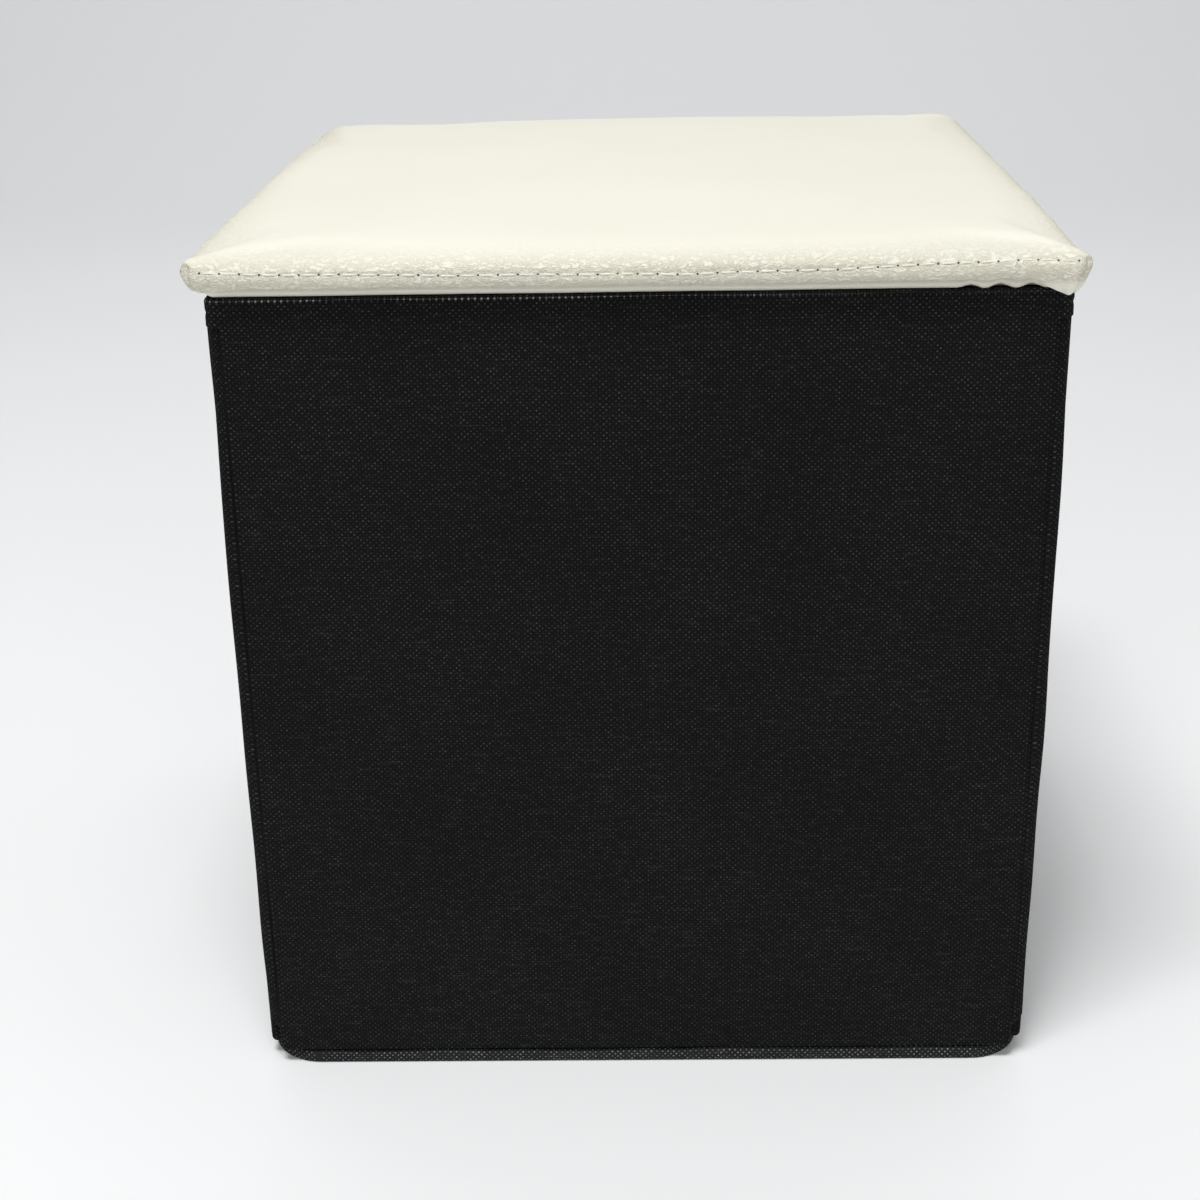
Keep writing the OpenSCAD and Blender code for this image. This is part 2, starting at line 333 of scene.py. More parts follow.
class Material:
    """A principled material, and short ways to add shader nodes to it."""

    def __init__(self, name, colour, roughness, **sockets):
        self.material = bpy.data.materials.new(name)
        self.material.use_nodes = True
        self.tree = self.material.node_tree
        self.shader = self.tree.nodes["Principled BSDF"]
        self.finish(Base_Color=(*colour, 1), Roughness=roughness, **sockets)

    def finish(self, **sockets):
        """Sets or links the shader's sockets; their names have _ for a space."""
        for socket, value in sockets.items():
            self.feed(self.shader.inputs[socket.replace("_", " ")], value)
        return self.material

    def feed(self, socket, value):
        if isinstance(value, bpy.types.NodeSocket):
            self.tree.links.new(value, socket)
        else:
            socket.default_value = value

    def add(self, kind, inputs, **settings):
        node = self.tree.nodes.new(kind)
        for key, value in settings.items():
            setattr(node, key, value)
        for key, value in inputs.items():
            self.feed(node.inputs[key], value)
        return node

    def place(self):
        return self.add("ShaderNodeTexCoord", {}).outputs["Object"]

    def math(self, operation, *values):
        return self.add("ShaderNodeMath", dict(enumerate(values)), operation=operation).outputs[0]

    def minus(self, a, b):
        return self.math("SUBTRACT", a, b)

    def plus(self, total, *others):
        for other in others:
            total = self.math("ADD", total, other)
        return total

    def times(self, product, *others):
        for other in others:
            product = self.math("MULTIPLY", product, other)
        return product

    def remap(self, value, lo, hi, to_lo=0.0, to_hi=1.0):
        return self.add("ShaderNodeMapRange", {0: value, 1: lo, 2: hi, 3: to_lo, 4: to_hi},
                        interpolation_type="SMOOTHSTEP").outputs[0]

    def noise(self, vector, scale, detail=3.0, roughness=0.55):
        inputs = {"Vector": vector, "Scale": scale, "Detail": detail, "Roughness": roughness}
        return self.add("ShaderNodeTexNoise", inputs).outputs[0]

    def stretch(self, vector, x, y, z=1.0):
        return self.add("ShaderNodeMapping", {"Vector": vector, "Scale": (x, y, z)}).outputs[0]

    def mix(self, factor, *colours):
        """From the first colour to the second; each is a link or an RGB tuple."""
        ends = [(*c, 1) if isinstance(c, tuple) else c for c in colours]
        return self.add("ShaderNodeMix", {0: factor, 6: ends[0], 7: ends[1]}, data_type="RGBA").outputs[2]

    def bump(self, height, distance, strength=1.0):
        return self.add("ShaderNodeBump",
                        {"Height": height, "Distance": distance, "Strength": strength}).outputs[0]


EMBOSS_X = 2.23 * MM  # repeat of the bonded dots across the cloth
EMBOSS_Y = 2.07 * MM  # and up it
FOLD_HIGHLIGHT_HALF_WIDTH = 0.55 * MM  # half the width of the painted highlight: a row of bright dots on the tape's fold
FOLD_HIGHLIGHT_FADE = (0.02, 0.10)  # where that painted highlight fades out, along the wall
# the light colour of the painted highlight on the tape's fold
FOLD_HIGHLIGHT_COLOUR = (0.30, 0.30, 0.29)
FLOOR_GLOW_HEIGHTS = (0.0, 0.30)  # painted floor reflection: the cloth is painted lighter from the higher of these heights to the lower
GRAIN_FADES = LID_LO[2] + np.array([10.5, 16.5]) * MM  # the lid's grain is stretched smooth between these
ROLL_SMOOTH = LID_LO[2] + np.array([1.8, 4.2]) * MM  # and it fades on the rolled lower edge


def nonwoven(name, dark, light, dot_tone_and_glint, depth=0.14 * MM, highlight_fold_at=None):
    """Spunbond polypropylene: matte fibres, bonded in a centred lattice of small glossy dots.
    The dots' light colour is partly their own tone and partly painted glint, and a painted floor
    reflection makes the cloth lighter low down and darker higher up. The last argument is the v of
    a fold whose row of dots gets a painted highlight."""
    m = Material(name, dark, 0.8, Sheen_Weight=0.0)
    cloth = m.add("ShaderNodeUVMap", {}).outputs[0]
    across, along = m.add("ShaderNodeSeparateXYZ", {0: cloth}).outputs[:2]
    wobble = m.times(m.noise(cloth, 700.0, 2.0), 1.2)
    columns = m.math("COSINE", m.plus(m.times(across, 2 * math.pi / EMBOSS_X), wobble))
    rows = m.math("COSINE", m.plus(m.times(along, 2 * math.pi / EMBOSS_Y), wobble))
    dots = m.remap(m.times(columns, rows), 0.40, 0.85)
    # painted glint: the dots' light colour is partly their own tone and partly painted glint, stronger in some
    # patches
    glint_strength = m.remap(m.noise(cloth, 380.0, 2.0), 0.40, 0.66, 0.25, 1.0)
    fibres = m.noise(m.stretch(cloth, 1.0, 1.8), 2400.0, 4.0, 0.7)
    threads = m.noise(m.stretch(cloth, 90.0, 1100.0), 1.0, 3.0, 0.6)
    patches = m.remap(m.noise(cloth, 14.0, 3.0), 0.30, 0.70, 0.72, 1.0)
    # painted floor reflection: lighter near the floor, darker higher up the wall
    floor_glow = m.remap(along, *FLOOR_GLOW_HEIGHTS, 1.0, 0.62)
    tone = m.plus(m.times(m.remap(fibres, 0.42, 0.70), 0.55), m.times(m.remap(threads, 0.52, 0.74), 0.45))
    shine = m.times(dots, glint_strength, patches)
    colour = m.mix(shine, m.mix(m.times(tone, patches, floor_glow), dark, light), dot_tone_and_glint)
    # painted highlight: a row of dots on the fold is painted light, fading along the wall
    if highlight_fold_at is not None:
        row = m.remap(m.math("ABSOLUTE", m.minus(along, highlight_fold_at)), 0.0, FOLD_HIGHLIGHT_HALF_WIDTH, 1.0, 0.0)
        fade = m.remap(across, *FOLD_HIGHLIGHT_FADE, 1.0, 0.08)
        uneven = m.remap(m.noise(cloth, 120.0, 2.0), 0.35, 0.6, 0.25, 1.0)
        colour = m.mix(m.times(row, m.remap(columns, 0.2, 0.9), fade, uneven), colour, FOLD_HIGHLIGHT_COLOUR)
    weave = m.plus(m.times(dots, -1.0), m.times(fibres, 0.7), m.times(threads, 0.4))
    return m.finish(Base_Color=colour, Normal=m.bump(weave, depth),
                    Roughness=m.minus(0.86, m.times(shine, 0.42)),
                    Specular_IOR_Level=m.plus(0.05, m.times(shine, 0.30)))


def leathercloth(name, colour, shade, crease):
    """Cream coated cloth. Its pebbled grain shows on the sides and is stretched smooth over the top; the
    grain's valleys and wrinkles are darkened with painted shade.
    """
    m = Material(name, colour, 0.6, Specular_IOR_Level=0.22)
    place = m.place()
    level = m.add("ShaderNodeSeparateXYZ", {0: place}).outputs[2]
    grained = m.times(m.remap(level, *GRAIN_FADES, 1.0, 0.0), m.remap(level, *ROLL_SMOOTH, 0.12, 1.0))
    drift = m.add("ShaderNodeTexNoise", {"Vector": place, "Scale": 420.0, "Detail": 2.0}).outputs[1]
    bent = m.add("ShaderNodeVectorMath", {0: drift, "Scale": 0.0016}, operation="SCALE").outputs[0]
    warped = m.add("ShaderNodeVectorMath", {0: place, 1: bent}, operation="ADD").outputs[0]
    cells = m.add("ShaderNodeTexVoronoi", {"Vector": m.stretch(warped, 0.8, 0.8, 1.3), "Scale": 820.0},
                  feature="DISTANCE_TO_EDGE").outputs["Distance"]
    pebbles = m.remap(cells, 0.0, 0.30)
    folds = m.noise(m.stretch(place, 0.6, 0.6, 1.5), 480.0, 4.0, 0.62)
    wrinkles = m.remap(m.math("ABSOLUTE", m.minus(folds, 0.5)), 0.0, 0.09)
    base = m.mix(m.times(m.remap(m.noise(place, 9.0, 3.0), 0.35, 0.65), 0.5), colour, shade)
    # painted shade: the grain's valleys and wrinkles darken the colour towards the crease colour
    valley = m.plus(m.times(m.minus(1.0, pebbles), 0.35), m.times(m.minus(1.0, wrinkles), 0.65))
    pores = m.noise(place, 2600.0, 2.0)
    relief = m.plus(m.times(pebbles, 0.6), wrinkles, m.times(folds, 0.9), m.times(pores, 0.2))
    relief = m.times(relief, m.plus(m.times(grained, 0.94), 0.06))
    return m.finish(Base_Color=m.mix(m.times(valley, grained), base, crease),
                    Normal=m.bump(relief, 0.26 * MM, 0.9))


def thread_material(name, colour, roughness):
    """Twisted sewing thread."""
    m = Material(name, colour, roughness, Sheen_Weight=0.2)
    twist = m.add("ShaderNodeTexWave", {"Vector": m.place(), "Scale": 900.0, "Distortion": 1.5},
                  bands_direction="DIAGONAL").outputs[1]
    dark = tuple(c * 0.8 for c in colour)
    return m.finish(Base_Color=m.mix(twist, dark, colour), Normal=m.bump(twist, 0.05 * MM))


def hole_shade_material():
    """Painted shade for the inside of a needle hole: dark, mottled a little lighter by noise."""
    m = Material("needle_hole", (0.05, 0.045, 0.035), 0.9)
    depth = m.noise(m.place(), 2000.0, 2.0)
    return m.finish(Base_Color=m.mix(depth, (0.03, 0.027, 0.02), (0.09, 0.08, 0.06)))


def hardboard_material():
    """Pressed wood-fibre board."""
    m = Material("hardboard", (0.20, 0.115, 0.06), 0.7)
    flecks = m.noise(m.stretch(m.place(), 1.0, 1.0, 1.6), 700.0, 5.0, 0.7)
    clouds = m.noise(m.place(), 25.0, 3.0)
    tone = m.times(m.remap(flecks, 0.35, 0.7), m.remap(clouds, 0.2, 0.8, 0.5, 1.0))
    return m.finish(Base_Color=m.mix(tone, (0.13, 0.07, 0.035), (0.27, 0.165, 0.09)),
                    Normal=m.bump(flecks, 0.08 * MM))


def foam_material():
    """Open-cell upholstery foam."""
    m = Material("foam", (0.85, 0.76, 0.45), 0.9)
    cells = m.add("ShaderNodeTexVoronoi", {"Vector": m.place(), "Scale": 1100.0}).outputs["Distance"]
    return m.finish(Base_Color=m.mix(m.remap(cells, 0.1, 0.6), (0.70, 0.60, 0.32), (0.88, 0.80, 0.50)),
                    Normal=m.bump(cells, 0.3 * MM))


def felt_material():
    """Thin black needle felt under the lid."""
    m = Material("felt", (0.016, 0.016, 0.017), 0.95, Sheen_Weight=0.3)
    fibres = m.noise(m.stretch(m.place(), 1.0, 2.2), 1500.0, 5.0, 0.75)
    return m.finish(Base_Color=m.mix(m.remap(fibres, 0.35, 0.7), (0.010, 0.010, 0.011), (0.03, 0.03, 0.032)),
                    Normal=m.bump(fibres, 0.25 * MM))


def floor_material():
    """Matte white studio sweep."""
    m = Material("studio_floor", (0.89, 0.895, 0.90), 0.6, Specular_IOR_Level=0.2)
    return m.finish(Normal=m.bump(m.noise(m.place(), 300.0, 2.0), 0.02 * MM))


TAPE_HIGHLIGHT_FOLD_V = TAPE_Z0 + 9.2 * MM  # where the top tape's fold is, up its cloth; its row of dots gets a painted highlight
# each cloth's third colour is its dots': partly their own tone and partly painted glint, lightest on the band
CLOTH = nonwoven("black_nonwoven", (0.0038, 0.0038, 0.0039), (0.031, 0.031, 0.032), (0.033, 0.033, 0.035))
LINING = nonwoven("lining_nonwoven", (0.005, 0.005, 0.005), (0.032, 0.032, 0.033), (0.042, 0.042, 0.044))
TAPE = nonwoven("tape_nonwoven", (0.0045, 0.0045, 0.0045), (0.046, 0.047, 0.047), (0.066, 0.067, 0.067),
                highlight_fold_at=TAPE_HIGHLIGHT_FOLD_V)

BAND = nonwoven("band_nonwoven", (0.009, 0.0095, 0.0095), (0.066, 0.070, 0.072), (0.27, 0.28, 0.285),
                depth=0.18 * MM)
# the last colour is painted shade for the grain's valleys
SKIN = leathercloth("cream_leathercloth", (0.752, 0.735, 0.640), (0.725, 0.706, 0.604), (0.655, 0.625, 0.50))
CREAM_THREAD = thread_material("cream_thread", (0.86, 0.84, 0.74), 0.5)
BLACK_THREAD = thread_material("black_thread", (0.030, 0.030, 0.032), 0.45)
HOLE_SHADE = hole_shade_material()
HARDBOARD = hardboard_material()
FOAM = foam_material()
FELT = felt_material()


def finish_piece(obj, body, slot, *nodes):
    """The piece rides on body and stands for those CAD nodes, which it hides. slot is not used."""
    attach(obj, body)
    if nodes:
        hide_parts(*nodes)
    return obj


# ---- the six wall panels

# Each panel: its plan run (low, high) along the wall, the wall's axis (0 = X, 1 = Y), and which side is outside
WIDE_RUN = (-FLAT_HALF, FLAT_HALF)
REAR_RUN = (CREASE_REAR, CORNER_END)
FRONT_RUN = (-CORNER_END, CREASE_FRONT)
PANELS = {
    "front": dict(run=WIDE_RUN, along=0, side=-1),
    "back": dict(run=WIDE_RUN, along=0, side=1),
    "left_rear": dict(run=REAR_RUN, along=1, side=-1),
    "left_front": dict(run=FRONT_RUN, along=1, side=-1),
    "right_rear": dict(run=REAR_RUN, along=1, side=1),
    "right_front": dict(run=FRONT_RUN, along=1, side=1),
}


def wall_point(panel, s, depth, z):
    """World points of a wall: s runs along it, depth goes in from its outer face."""
    plan = [s, panel["side"] * (HALF - depth)]
    return grid_of(*(plan if panel["along"] == 0 else plan[::-1]), z)


def slab_between(panel, depth_a, depth_b, z0, z1):
    a = wall_point(panel, panel["run"][0], depth_a, z0)
    b = wall_point(panel, panel["run"][1], depth_b, z1)
    return np.minimum(a, b), np.maximum(a, b)


def inner_side(panel):
    """The letter of the slab face that looks into the box."""
    letter = "xy"[1 - panel["along"]]
    return letter.upper() if panel["side"] < 0 else letter


LOW_CUT_TOP = 10.6 * MM  # below this the wall cloth draws in beside the corners
LOW_CUT = 0.6 * MM
TAPE_PRESS = 0.22 * MM  # the tape is pressed this much flatter than its nominal thickness
TAPE_OUT = TAPE_T - TAPE_PRESS  # how far it stands off the wall's face
TAPE_BEND = 1.6 * MM
TAPE_SEAM_Z = TAPE_Z0 + 4.6 * MM
TAPE_STITCH = 3.7 * MM
# The dip that the stitches pull into the tape: (height from the seam, depth) in mm
TAPE_DIP = [(-1.6, 0.0), (-0.8, 0.12), (-0.35, 0.26), (0, 0.32), (0.35, 0.26), (0.8, 0.12), (1.6, 0.0)]


def draw_in_low_corners(obj, panel):
    """The bound seam pulls a wall's lower corners in."""
    co = vertex_array(obj.data)
    along = panel["along"]
    low = fade(co[:, 2], WALL_Z0, LOW_CUT_TOP)
    for end, sign in zip(panel["run"], (-1, 1)):
        if min(abs(end - CREASE_REAR), abs(end - CREASE_FRONT)) > 1 * MM:
            near = smoothstep(sign * (co[:, along] - end), -6 * MM, 0)
            co[:, along] -= sign * near * low * LOW_CUT
    set_vertices(obj.data, co)


def make_cover(name, panel, seed):
    """Outer cover: a pocket of cloth pulled over the board, open towards the lining."""
    lo, hi = slab_between(panel, 0, WALL_T - LINING_T, WALL_Z0, WALL_Z1)
    sides = "xXyYzZ".replace(inner_side(panel), "")
    obj = slab_object(f"{name}_cover_cloth", lo, hi, 1.5 * MM, 3.0 * MM, CLOTH, sides,
                      shell=COVER_T - 0.1 * MM, waves=(0.06 * MM, 55 * MM, seed))
    draw_in_low_corners(obj, panel)
    finish_piece(obj, name, "outer_fabric", f"{name}_outer_cover")


def make_lining(name, panel, seed):
    lo, hi = slab_between(panel, WALL_T - LINING_T, WALL_T, WALL_Z0, WALL_Z1)
    obj = slab_object(f"{name}_lining_cloth", lo, hi, 0.33 * MM, 5.0 * MM, LINING,
                      waves=(0.03 * MM, 60 * MM, seed))
    finish_piece(obj, name, "lining_fabric", f"{name}_lining")


def tape_profile(inner_leg=True):
    """(depth, z) of the top tape's outer face, from its front hem up, over the edge and down inside."""
    out = [(-TAPE_OUT - 0.06 * MM, TAPE_Z0), (-TAPE_OUT - 0.02 * MM, TAPE_Z0 + 1.2 * MM)]
    out += [(-TAPE_OUT + dip * MM, TAPE_SEAM_Z + dz * MM) for dz, dip in TAPE_DIP]
    far = WALL_T + TAPE_OUT if inner_leg else WALL_T
    turn = [(TAPE_BEND * (1 - math.cos(a)), TAPE_Z1 - TAPE_BEND * (1 - math.sin(a)))
            for a in np.linspace(0, math.pi / 2, 6)]
    out += [(inset - TAPE_OUT, z) for inset, z in turn]
    out += [(far - inset, z) for inset, z in turn[::-1]]
    if inner_leg:
        out += [(far, TAPE_Z0 + k * MM) for k in (7, 5.4, 4.6, 3.8, 2, 0)]
    return np.array(out)


def tape_object(name, points, s, profile):
    """The tape whose outer face is points[along the wall, along the profile]."""
    uv = grid_of(s[:, None], TAPE_Z0 + path_length(profile)[None, :])
    return cloth_shell(name, points, TAPE_T * 0.7, TAPE, uv)


def make_tape(name, panel, seed):
    """Tape folded over the panel's top edge."""
    lo, hi = panel["run"]
    profile = tape_profile()
    s = np.linspace(lo, hi, int((hi - lo) / (2.5 * MM)) + 1)
    if (panel["side"] > 0) == (panel["along"] == 1):
        s = s[::-1]  # keeps the tape's outer face outside
    points = wall_point(panel, s[:, None], *profile.T[:, None])
    low = fade(points[..., 2], TAPE_Z0, TAPE_Z0 + 7 * MM)
    points[..., 2] += low * 0.16 * MM * ripple(points, 38 * MM, seed)
    points[..., 1 - panel["along"]] += panel["side"] * low * 0.03 * MM * ripple(points, 20 * MM, seed + 1)
    finish_piece(tape_object(f"{name}_tape", points, s, profile), name, "binding_tape", f"{name}_top_binding")


def stitch(start, end, out, radius):
    """Verts and faces of one machine stitch from start to end, arched outward and sunk at both ends."""
    along = end - start
    across = np.cross(along / np.linalg.norm(along), out)
    rings, sides = 7, 6
    verts = []
    for i, t in enumerate(np.linspace(0, 1, rings)):
        inside = 0 < i < rings - 1
        lift = radius * (1.5 * math.sin(math.pi * t) ** 0.5 - 1.1 if inside else -1.6)
        thick = radius * (1.0 if inside else 0.55)
        for a in np.linspace(0, 2 * math.pi, sides, endpoint=False):
            verts.append(start + along * t + out * lift + thick * (math.cos(a) * across + math.sin(a) * out))
    faces = grid_quads(rings, sides, wrap=True).tolist()
    return verts, faces + [list(range(sides))[::-1], list(range((rings - 1) * sides, rings * sides))]


def chain(points, out):
    """The places of a row of stitches through those points."""
    return [(a, b, out) for a, b in zip(points, points[1:])]


def merged(parts):
    """Verts and faces of several (verts, faces) as one mesh."""
    verts, faces = [], []
    for part_verts, part_faces in parts:
        faces += [[i + len(verts) for i in face] for face in part_faces]
        verts += part_verts
    return verts, faces


def stitch_row(name, places, radius, material, cover=0.8):
    """places is a list of (point, next point, outward); one stitch fills the share cover of each step."""
    stitches = []
    for a, b, out in places:
        a, b, out = (np.asarray(v, float) for v in (a, b, out))
        gap = (b - a) * (1 - cover) / 2
        stitches.append(stitch(a + gap, b - gap, out, radius))
    return make_object(name, *merged(stitches), material)


def make_tape_stitches(name, panel):
    lo, hi = panel["run"]
    s = np.linspace(lo + 0.6 * MM, hi - 0.6 * MM, int((hi - lo) / TAPE_STITCH) + 1)
    places = []
    for depth, sign in ((-TAPE_OUT + 0.30 * MM, 1), (WALL_T + TAPE_OUT, -1)):
        points = wall_point(panel, s, depth, TAPE_SEAM_Z)
        out = np.zeros(3)
        out[1 - panel["along"]] = sign * panel["side"]
        points[:, 2] += 0.12 * MM * ripple(points, 30 * MM, 5)
        places += chain(points, out)
    finish_piece(stitch_row(f"{name}_tape_stitches", places, 0.24 * MM, BLACK_THREAD), name, "binding_tape")


for number, (panel_name, panel_data) in enumerate(PANELS.items()):
    make_cover(panel_name, panel_data, 100 + number)
    make_lining(panel_name, panel_data, 200 + number)
    make_tape(panel_name, panel_data, 300 + number)
    make_tape_stitches(panel_name, panel_data)


# ---- the four corners

CORNER_R = WALL_T  # the corner roll's outer radius
TAPER_TOP = 18.5 * MM  # the corners draw in below this height to meet the bound seam
TAPER_LOW = 10.5 * MM  # and are drawn in fully here
CORNER_PUFF = 0.9 * MM


def corner_loop(radius):
    """Plan loop of a corner roll in its own axes: p points out of the side wall, q out of the front wall."""
    tail = CORNER_END - INNER            # negative: the roll runs on along the side wall
    arc = [(radius * math.sin(a), radius * math.cos(a)) for a in np.linspace(0, math.pi / 2, 14)]
    rest = [(radius, tail * 0.5), (radius - 0.5 * MM, tail), (0.5 * MM, tail), (0, tail + 0.5 * MM),
            (0, 0), (0, radius - 0.6 * MM)]
    return np.array(arc + rest)


def taper(loop, z):
    """Draws the outside of the corner in towards the floor."""
    pull = np.clip((z - TAPER_LOW) / (TAPER_TOP - TAPER_LOW), 0.06, 1)
    return np.where(loop > 0, loop * pull, loop)


def puff(loop, z):
    """The corner cloth stands out a little at mid-height, beyond the side wall."""
    share = math.sin(math.pi * (z - WALL_Z0) / (WALL_Z1 - WALL_Z0))
    reach = smoothstep(loop[:, 1], CORNER_END - INNER, 0)
    out = loop.copy()
    out[:, 0] += np.where(loop[:, 0] > 1 * MM, CORNER_PUFF * share * reach, 0)
    return out


def corner_to_world(loop, x_side, y_side):
    """p, q to world plan coordinates of the corner on that side."""
    return np.column_stack([x_side * (INNER + loop[:, 0]), y_side * (INNER + loop[:, 1])])


def make_corner(name, x_side, y_side, seed):
    low = np.linspace(WALL_Z0, TAPER_TOP + 4 * MM, 18)
    heights = np.concatenate([low, np.linspace(26 * MM, WALL_Z1, 70)])
    base = corner_loop(CORNER_R)

    def shape(z):
        loop = puff(taper(base, z), z)
        sag = 0.22 * MM * ripple(np.array([[x_side, y_side * 0.5, z]]), 70 * MM, seed)[0]
        loop = loop + np.where(loop > 1 * MM, sag - 0.2 * MM, 0)
        return corner_to_world(loop, x_side, y_side)

    obj = prism(f"{name}_corner_cloth", corner_to_world(base, x_side, y_side), heights, CLOTH, shape)
    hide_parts(f"{name}_corner")
    return obj


def make_corner_tape(name, x_side, y_side):
    """The top tape where it wraps a corner roll and runs on along the side wall."""
    profile = tape_profile(inner_leg=False)
    profile = profile[profile[:, 0] < WALL_T - 1.7 * MM]
    r, z = CORNER_R - profile[:, 0], profile[:, 1]
    arc = np.linspace(0, math.pi / 2, 13)
    straight = np.linspace(0, INNER - CORNER_END, 4)[1:]
    plan = [(r * math.sin(a), r * math.cos(a)) for a in arc] + [(r, 0 * r - q) for q in straight]
    run = np.concatenate([CORNER_R * arc, CORNER_R * math.pi / 2 + straight])
    if x_side * y_side < 0:
        plan, run = plan[::-1], run[::-1]  # keeps the tape's outer face outside
    points = np.array([np.column_stack([x_side * (INNER + p), y_side * (INNER + q), z]) for p, q in plan])
    obj = tape_object(f"{name}_corner_tape", points, run, profile)
    return obj


def hang_corner(obj, name, y_side):
    """A corner's cloth stays where it is built; the open corner's rides on the side wall."""
    wall = "front" if y_side < 0 else "back"
    if (name, wall) == ("right_front", "front"):
        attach(obj, name)
        return
    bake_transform(obj)


CORNERS = {"left_front": (-1, -1), "right_front": (1, -1), "left_rear": (-1, 1), "right_rear": (1, 1)}
for number, (corner_name, (cx, cy)) in enumerate(CORNERS.items()):
    for piece in (make_corner(corner_name, cx, cy, 400 + number), make_corner_tape(corner_name, cx, cy)):
        hang_corner(piece, corner_name, cy)


# ---- the side walls' creases

def make_crease(side, x_side):
    """The boardless strip of cloth that a side wall creases on, stitched through down its middle."""
    middle = (CREASE_REAR + CREASE_FRONT) / 2
    half = (CREASE_REAR - CREASE_FRONT) / 2
    outer = HALF - 0.7 * MM
    inner = INNER + 0.5 * MM
    plan = [(outer, half), (outer - 1.1 * MM, 0.3 * MM), (outer - 1.1 * MM, -0.3 * MM), (outer, -half),
            (inner, -half), (inner + 0.9 * MM, -0.3 * MM), (inner + 0.9 * MM, 0.3 * MM), (inner, half)]
    loop = smooth_loop(plan, 0.5 * MM, 4)
    loop = np.column_stack([x_side * loop[:, 0], middle + loop[:, 1]])
    heights = np.linspace(WALL_Z0, TAPE_Z1 - 0.4 * MM, 90)
    obj = prism(f"{side}_crease_cloth", loop, heights, CLOTH)
    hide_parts(f"{side}_crease_seam")
    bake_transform(obj)


make_crease("left", -1)
make_crease("right", 1)

# ---- the bottom

BAND_R = 21 * MM  # plan radius of the bound seam
BOTTOM_HEM = 0.25 * MM  # the bottom cloth's round hem stands out this much


def ring_plan(reach, radius, step=3 * MM):
    """Plan points and outward directions round a square with round corners, reach from the centre."""
    points, outs = [], []
    straight = reach - radius
    count = max(2, int(2 * straight / step))
    for turn in range(4):
        a = turn * math.pi / 2
        spin = np.array([[math.cos(a), -math.sin(a)], [math.sin(a), math.cos(a)]])
        for t in np.linspace(-straight, straight, count, endpoint=False):
            points.append(spin @ np.array([t, -reach]))
            outs.append(spin @ np.array([0.0, -1.0]))
        for b in np.linspace(-math.pi / 2, 0, 14, endpoint=False):
            d = np.array([math.cos(b), math.sin(b)])
            points.append(spin @ (np.array([straight, -straight]) + radius * d))
            outs.append(spin @ d)
    return np.array(points), np.array(outs)


def make_band():
    """The bound seam round the base: a folded tape on edge, leaning in a little at its top."""
    plan, outs = ring_plan(BAND_HI[0], BAND_R)
    top = BAND_HI[2]
    section = smooth_loop([
        (-0.5 * MM, 0.0), (0.0, 1.4 * MM), (-0.35 * MM, 4.2 * MM), (-1.3 * MM, 5.1 * MM),
        (-3.4 * MM, 4.6 * MM), (-3.7 * MM, top), (-4.5 * MM, top), (-4.5 * MM, 0.0)], 0.8 * MM, 4)
    grid = np.array([np.column_stack([plan + outs * d, np.full(len(plan), z)]) for d, z in section])
    lift = 0.25 * MM * ripple(np.column_stack([plan, np.zeros(len(plan))]), 45 * MM, 21)
    share = np.clip((section[:, 1] - 2 * MM) / (3 * MM), 0, 1)
    share[section[:, 1] > 5.15 * MM] = 0
    grid[..., 2] += share[:, None] * lift[None, :]
    rows, cols = grid.shape[:2]
    faces = grid_quads(rows + 1, cols, wrap=True) % (rows * cols)
    uv = grid_of(path_length(plan)[None, :], path_length(section)[:, None])
    obj = closed_object("bottom_seam_tape", grid.reshape(-1, 3), faces, BAND, uv.reshape(-1, 2))
    return finish_piece(obj, "back", "binding_tape", "bottom_binding")


def round_plan(xy, centre, half, radius):
    """Moves the plan points of a rectangle so that its corners are round."""
    rel = xy - centre
    over = np.clip(np.abs(rel) - (half - radius), 0, None)
    reach = np.linalg.norm(over, axis=-1)
    scale = np.where(reach > 0, over.max(-1) / np.maximum(reach, 1e-12), 1.0)
    return centre + np.sign(rel) * (np.minimum(np.abs(rel), half - radius) + over * scale[..., None])


def make_bottom_cloth():
    """The bottom of the bag: one sheet of cloth, a little loose."""
    lo, hi = node_box("bottom_fabric")
    x, y = (np.linspace(lo[k] + BOTTOM_HEM, hi[k] - BOTTOM_HEM, 74) for k in (0, 1))
    uv = grid_of(x[:, None], y[None, :])
    edge = np.minimum(uv - lo[:2], hi[:2] - uv).min(-1)
    flat = grid_of(uv[..., 0], uv[..., 1], 0.0)
    sag = 0.05 * MM * ripple(flat, 40 * MM, 31) * smoothstep(edge, 0, 20 * MM)
    flat[..., 2] = hi[2] + np.clip(sag, -0.1 * MM, 0.15 * MM)
    flat[..., :2] = round_plan(uv, (lo + hi)[:2] / 2, (hi - lo)[:2] / 2 - BOTTOM_HEM, BAND_R - 5 * MM)
    obj = cloth_shell("bottom_cloth", flat[::-1], hi[2] - lo[2] - 0.12 * MM, CLOTH, uv)
    finish_piece(obj, "back", "outer_fabric", "bottom_fabric")
    return obj


for piece in (make_band(), make_bottom_cloth()):
    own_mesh(piece)


# ---- the base board

SLEEVE_R = 15.5 * MM  # plan radius of the sleeve's corners
SLEEVE_STITCH_INSET = 6 * MM
SLEEVE_STITCH = 4.5 * MM
STITCH_DIP = 0.14 * MM
BASE_LO, BASE_HI = node_box("base_board_sleeve")


